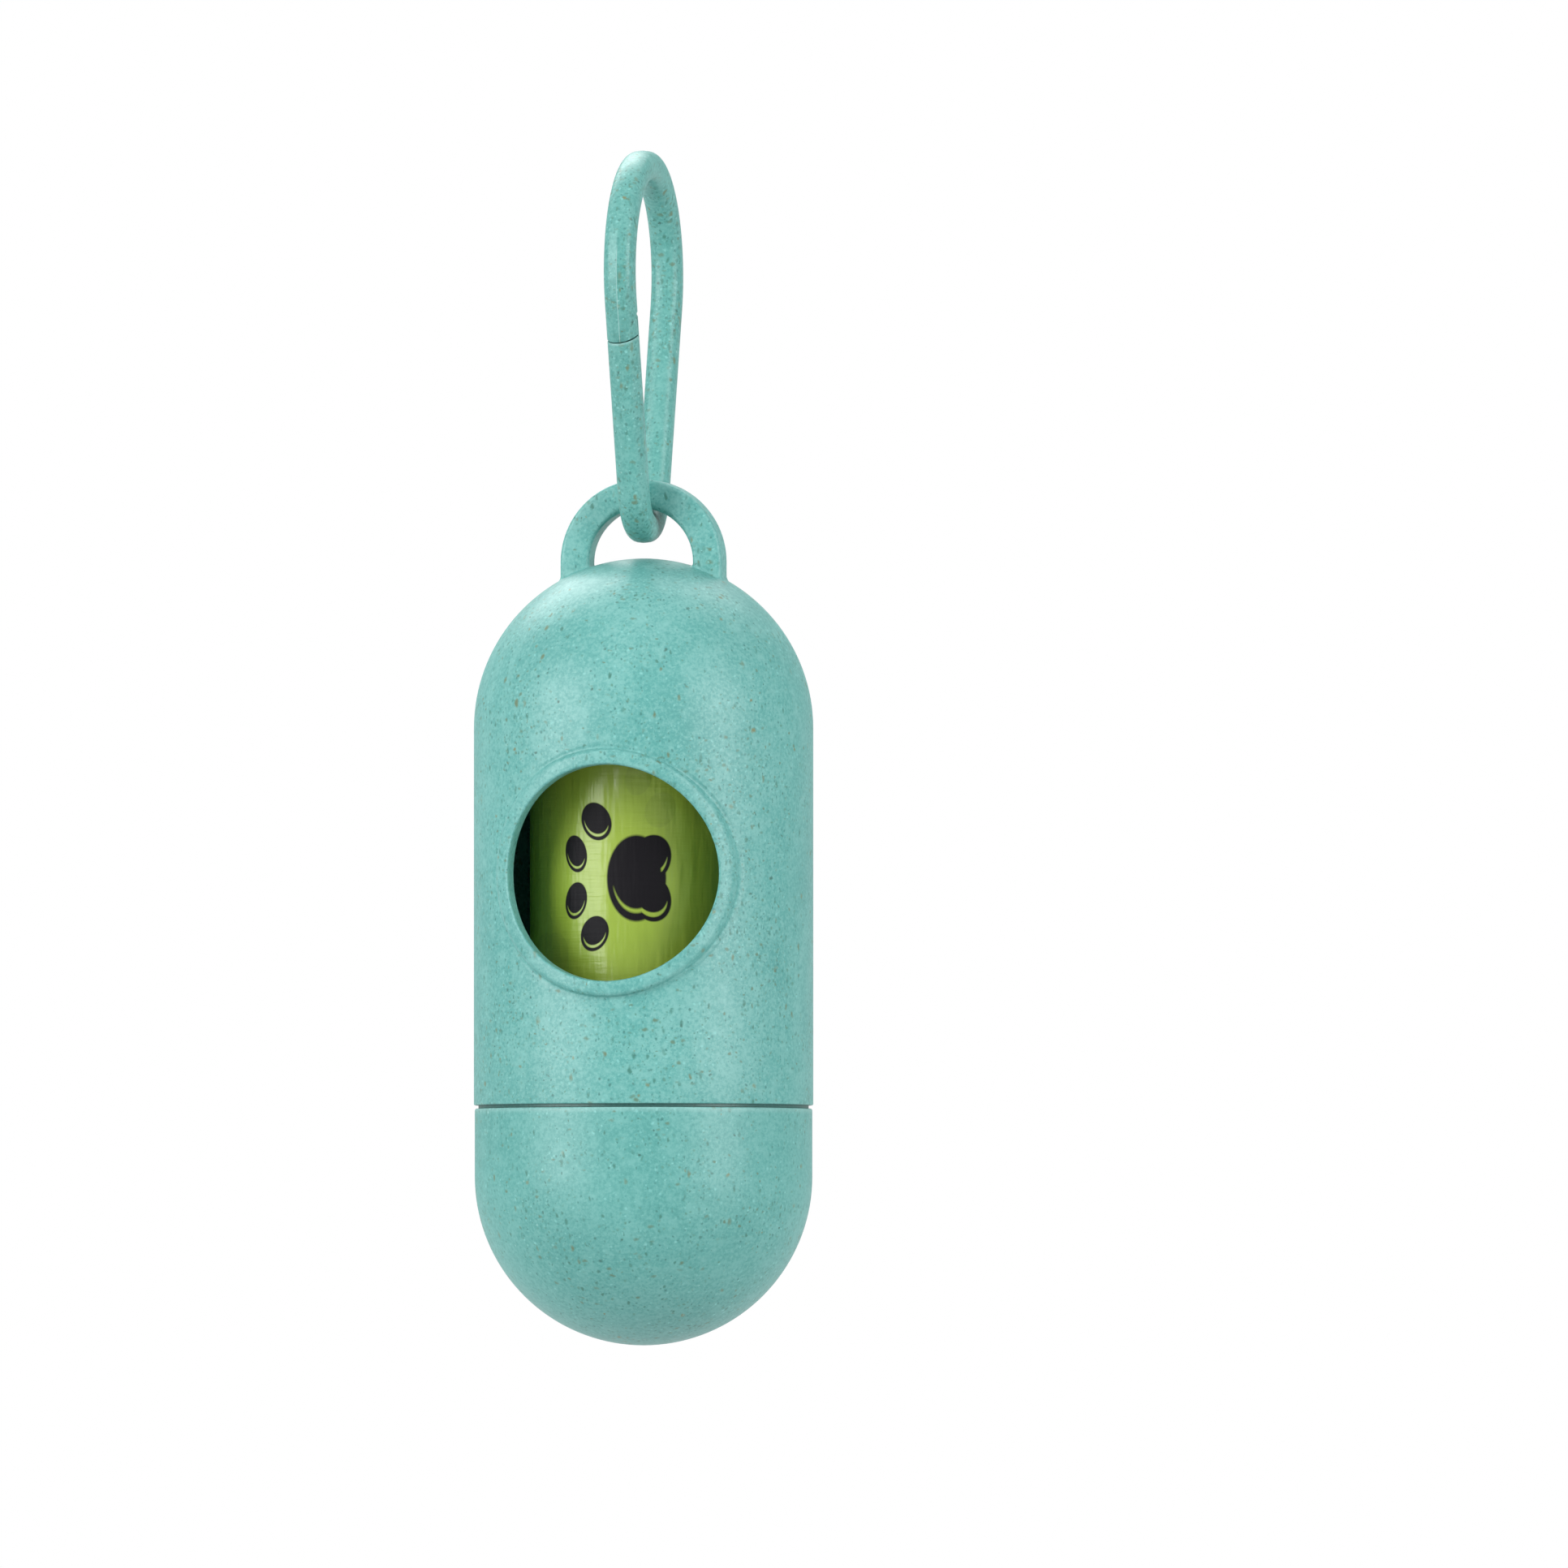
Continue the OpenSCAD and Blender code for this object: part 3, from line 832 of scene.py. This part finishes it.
pulp = mix_colour(tree, math_node(tree, "MULTIPLY", seam, 0.6), pulp, srgb(96, 90, 80))
card_bump = node(tree, "ShaderNodeBump", Height=fibre.outputs[0], Strength=0.3, Distance=0.00008)
card_skin = node(tree, "ShaderNodeBsdfPrincipled", Base_Color=pulp, Roughness=0.88,
                 Normal=card_bump.outputs[0])
node(tree, "ShaderNodeOutputMaterial", Surface=card_skin.outputs[0])
card_core.data.materials.append(card)
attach(card_core, "core")
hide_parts("roll_core")

# Wound bags. One long strip of thin green film, folded to the roll's width and wound on the
# core, so its ends show as fine rings.
wound_low, wound_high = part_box("wound_bags")
wound_r = wound_high[0] / mm
roll_low = wound_low[2] / mm
roll_high = wound_high[2] / mm


def film_material(name, printed):
    """Thin glossy green film, creased along the roll and slantwise at its ends, printed or plain."""
    film = bpy.data.materials.new(name)
    film.use_nodes = True
    tree = film.node_tree
    tree.nodes.clear()
    at = tree.nodes.new("ShaderNodeTexCoord").outputs["Object"]
    drawn = node(tree, "ShaderNodeMapping", Vector=at, Scale=(1, 1, 0.16)).outputs[0]
    creases = node(tree, "ShaderNodeTexNoise", Vector=drawn, Scale=420, Detail=3, Roughness=0.55)
    hoops = node(tree, "ShaderNodeMapping", Vector=at, Scale=(0.1, 0.1, 1)).outputs[0]
    lines = node(tree, "ShaderNodeTexNoise", Vector=hoops, Scale=900, Detail=3, Roughness=0.6)
    slanted = node(
        tree, "ShaderNodeMapping", Vector=at, Rotation=(0.6, 0.7, 0), Scale=(1, 1, 0.2)).outputs[0]
    folds = node(tree, "ShaderNodeTexNoise", Vector=slanted, Scale=300, Detail=2, Distortion=0.6)
    split = node(tree, "ShaderNodeSeparateXYZ", Vector=at)
    from_middle = math_node(tree, "ABSOLUTE", math_node(
        tree, "SUBTRACT", split.outputs[2], (roll_low + roll_high) / 2 * mm))
    roll_len = (roll_high - roll_low) * mm
    near_end = node(tree, "ShaderNodeMapRange", Value=from_middle,
                    From_Min=0.3 * roll_len, From_Max=0.5 * roll_len)
    ribbed = math_node(tree, "MULTIPLY", lines.outputs[0], 0.3)
    height = math_node(tree, "ADD", creases.outputs[0], ribbed)
    folded = math_node(
        tree, "MULTIPLY", folds.outputs[0], math_node(tree, "MULTIPLY", near_end.outputs[0], 2.5))
    height = math_node(tree, "ADD", height, folded)
    cloud = node(tree, "ShaderNodeTexNoise", Vector=at, Scale=120, Detail=3)
    tint = mix_colour(tree, cloud.outputs[0], srgb(130, 158, 40), srgb(150, 174, 62))
    tint = mix_colour(
        tree, math_node(tree, "MULTIPLY", creases.outputs[0], 0.3), tint, srgb(168, 188, 88))
    rough = 0.3
    shine = 0.5
    if printed:
        under_prints = paw_prints(tree, move=(0.31, 0.22), crescents=False)
        beneath = math_node(tree, "MULTIPLY", under_prints, 0.18)
        tint = mix_colour(tree, beneath, tint, srgb(84, 104, 44))
        ink = paw_prints(tree, move=(0, 0), crescents=True)
        tint = mix_colour(tree, ink, tint, srgb(15, 13, 18))
        rough = math_node(tree, "MULTIPLY_ADD", ink, 0.26, rough)
        shine = math_node(tree, "MULTIPLY_ADD", ink, -0.35, shine)
    bump = node(tree, "ShaderNodeBump", Height=height, Strength=0.7, Distance=0.0004)
    skin = node(tree, "ShaderNodeBsdfPrincipled", Base_Color=tint, Roughness=rough,
                IOR=1.5, Specular_IOR_Level=shine, Normal=bump.outputs[0])
    node(tree, "ShaderNodeOutputMaterial", Surface=skin.outputs[0])
    return film


def winding_tree():
    """Geometry Nodes: a strip of film wound in a flat spiral from the core outwards."""
    tree = bpy.data.node_groups.new("film_winding", "GeometryNodeTree")
    tree.interface.new_socket("Winding", in_out="OUTPUT", socket_type="NodeSocketGeometry")
    for name in ("Inner Radius", "Outer Radius", "Turns", "Thickness", "Width", "Middle"):
        tree.interface.new_socket(name, in_out="INPUT", socket_type="NodeSocketFloat")
    tree.interface.new_socket("Film", in_out="INPUT", socket_type="NodeSocketMaterial")
    given = tree.nodes.new("NodeGroupInput").outputs
    spiral = node(tree, "GeometryNodeCurveSpiral", Resolution=72, Rotations=given["Turns"], Height=0.0)
    tree.links.new(given["Inner Radius"], spiral.inputs["Start Radius"])
    tree.links.new(given["Outer Radius"], spiral.inputs["End Radius"])
    upright = node(tree, "GeometryNodeSetCurveNormal", Curve=spiral.outputs[0])
    upright.mode = "Z_UP"
    strip = node(tree, "GeometryNodeCurvePrimitiveQuadrilateral",
                 Width=given["Thickness"], Height=given["Width"])
    wound = node(
        tree, "GeometryNodeCurveToMesh", Curve=upright.outputs[0], Profile_Curve=strip.outputs[0])
    wound.inputs["Fill Caps"].default_value = True
    lift = node(tree, "ShaderNodeCombineXYZ", Z=given["Middle"])
    raised = node(tree, "GeometryNodeTransform", Geometry=wound.outputs[0], Translation=lift.outputs[0])
    real = node(tree, "GeometryNodeRealizeInstances", Geometry=raised.outputs[0])
    done = node(tree, "GeometryNodeSetMaterial", Geometry=real.outputs[0], Material=given["Film"])
    out = tree.nodes.new("NodeGroupOutput")
    tree.links.new(done.outputs[0], out.inputs[0])
    return tree


film_turns = 18
film_pack = (wound_r - core_r) / film_turns
plain_film = film_material("green_film", printed=False)
wound_film = grown("wound_film", winding_tree(), {
    "Inner Radius": (core_r + film_pack * 0.6) * mm, "Outer Radius": (wound_r - film_pack * 0.5) * mm,
    "Turns": float(film_turns), "Thickness": film_pack * 0.72 * mm, "Width": (roll_high - roll_low) * mm,
    "Middle": (roll_high + roll_low) / 2 * mm, "Film": plain_film})
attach(wound_film, "bags")
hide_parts("wound_bags")

# Lead bag. The outermost bag, printed with black paw prints, which is the next to be pulled
# out. It lies round the roll in soft waves, and its torn end overlaps its own start.
lead_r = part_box("lead_bag")[1][0] / mm
lead_waves = ((5, 0.035, 0.3), (11, 0.02, 1.9), (23, 0.012, 4.0))
frill_count = 17
frill_depth = 0.05
lead_slack = 0.7
lead_start = 150
lead_wrap = 380
lead_room = 0.13
film_thick = 0.06
lead_columns = 220
lead_rows = 60
paw_z = window_z + 0.5
paw_row_gap = 24.0
paw_column_gap = math.pi * lead_r / 2


def inside_blots(tree, place, blots, lift, *sizes):
    """For each size, 1 inside any of these lifted ellipses when shrunk to that size, else 0."""
    masks = [None] * len(sizes)
    for x, y, wide, high, tilt in blots:
        blot = node(tree, "ShaderNodeMapping", Vector=place, Location=(x, y + lift, 0),
                    Rotation=(0, 0, tilt), Scale=(wide, high, 1))
        blot.vector_type = "TEXTURE"
        length = node(tree, "ShaderNodeVectorMath", _0=blot.outputs[0])
        length.operation = "LENGTH"
        for i, size in enumerate(sizes):
            inside = node(tree, "ShaderNodeMapRange", Value=length.outputs["Value"],
                          From_Min=size + 0.03, From_Max=size - 0.03).outputs[0]
            masks[i] = inside if masks[i] is None else math_node(tree, "MAXIMUM", masks[i], inside)
    return masks


def paw_prints(tree, move, crescents):
    """A mask of paw prints lying on their side, each blot with a bare crescent at its foot or
    without. Each row of prints on the film's own UV stands half a print's distance along."""
    uv = node(tree, "ShaderNodeUVMap")
    uv.uv_map = "film"
    moved = node(tree, "ShaderNodeMapping", Vector=uv.outputs[0], Location=(move[0], move[1], 0))
    split = node(tree, "ShaderNodeSeparateXYZ", Vector=moved.outputs[0])
    up = math_node(tree, "MULTIPLY_ADD", split.outputs[1], 2.0, 0.5)
    row = math_node(tree, "FLOOR", up)
    along = math_node(tree, "ADD", split.outputs[0], math_node(tree, "MULTIPLY_ADD", row, 0.5, 0.5))
    x, y = [
        math_node(tree, "MULTIPLY", math_node(tree, "SUBTRACT", math_node(tree, "FRACT", way), 0.5), gap)
        for way, gap in ((along, 2 * paw_column_gap), (up, paw_row_gap))]
    place = node(tree, "ShaderNodeCombineXYZ", X=x, Y=y).outputs[0]
    mask = None
    # How far each crescent is lifted, and its blots: x, y, width, height and tilt
    for lift, blots in (
            (0.55, ((2.0, -1.0, 3.3, 4.7, 0.0), (3.6, -3.1, 2.2, 2.7, 0.4), (3.6, 1.1, 2.2, 2.7, -0.4))),
            (0.35, ((-2.6, 5.2, 1.75, 2.15, 0.5),)), (0.3, ((-5.2, 1.7, 1.45, 2.05, 0.25),)),
            (0.3, ((-5.2, -3.4, 1.45, 2.05, -0.25),)), (0.35, ((-2.8, -7.0, 1.65, 2.0, -0.5),))):
        blot, within = inside_blots(tree, place, blots, 0, 1.0, 0.8)
        if crescents:
            beyond = inside_blots(tree, place, blots, lift, 0.83)[0]
            crescent = math_node(tree, "SUBTRACT", within, beyond, clamp=True)
            blot = math_node(tree, "SUBTRACT", blot, crescent)
        mask = blot if mask is None else math_node(tree, "MAXIMUM", mask, blot)
    return mask


def lead_surface(share, up, inward):
    """A point of the wrapped film: share goes once round and a little on, over its own start."""
    angle = math.radians(lead_start) + share * math.radians(lead_wrap)
    over = max(0.0, (share * lead_wrap - 360) / (lead_wrap - 360))
    wave = sum(depth * math.sin(count * angle + turn + up * 1.3) for count, depth, turn in lead_waves)
    frill = frill_depth * math.sin(frill_count * angle) * abs(2 * up - 1) ** 6
    r = lead_r - lead_room - inward + (wave + frill) * lead_slack + film_thick * over
    return on_wall(r, angle, roll_low + up * (roll_high - roll_low))


outer, inner = [
    [[lead_surface(i / lead_columns, j / lead_rows, inward) for i in range(lead_columns + 1)]
     for j in range(lead_rows + 1)] for inward in (0, film_thick)]
lead_film = solid("lead_film", [
    (outer, False), (inner, False), ([outer[0], inner[0]], False), ([outer[-1], inner[-1]], False),
    ([[row[0] for row in outer], [row[0] for row in inner]], False),
    ([[row[-1] for row in outer], [row[-1] for row in inner]], False)], crease=60)
film_uv = lead_film.data.uv_layers.new(name="film")
for loop in lead_film.data.loops:
    point = lead_film.data.vertices[loop.vertex_index].co / mm
    around_mm = math.atan2(point.x, -point.y) * lead_r
    film_uv.data[loop.index].uv = (
        around_mm / (2 * paw_column_gap) + 0.5, (point.z - paw_z) / (2 * paw_row_gap) + 0.5)
lead_film.data.materials.append(film_material("printed_film", printed=True))
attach(lead_film, "bags")
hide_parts("lead_bag")
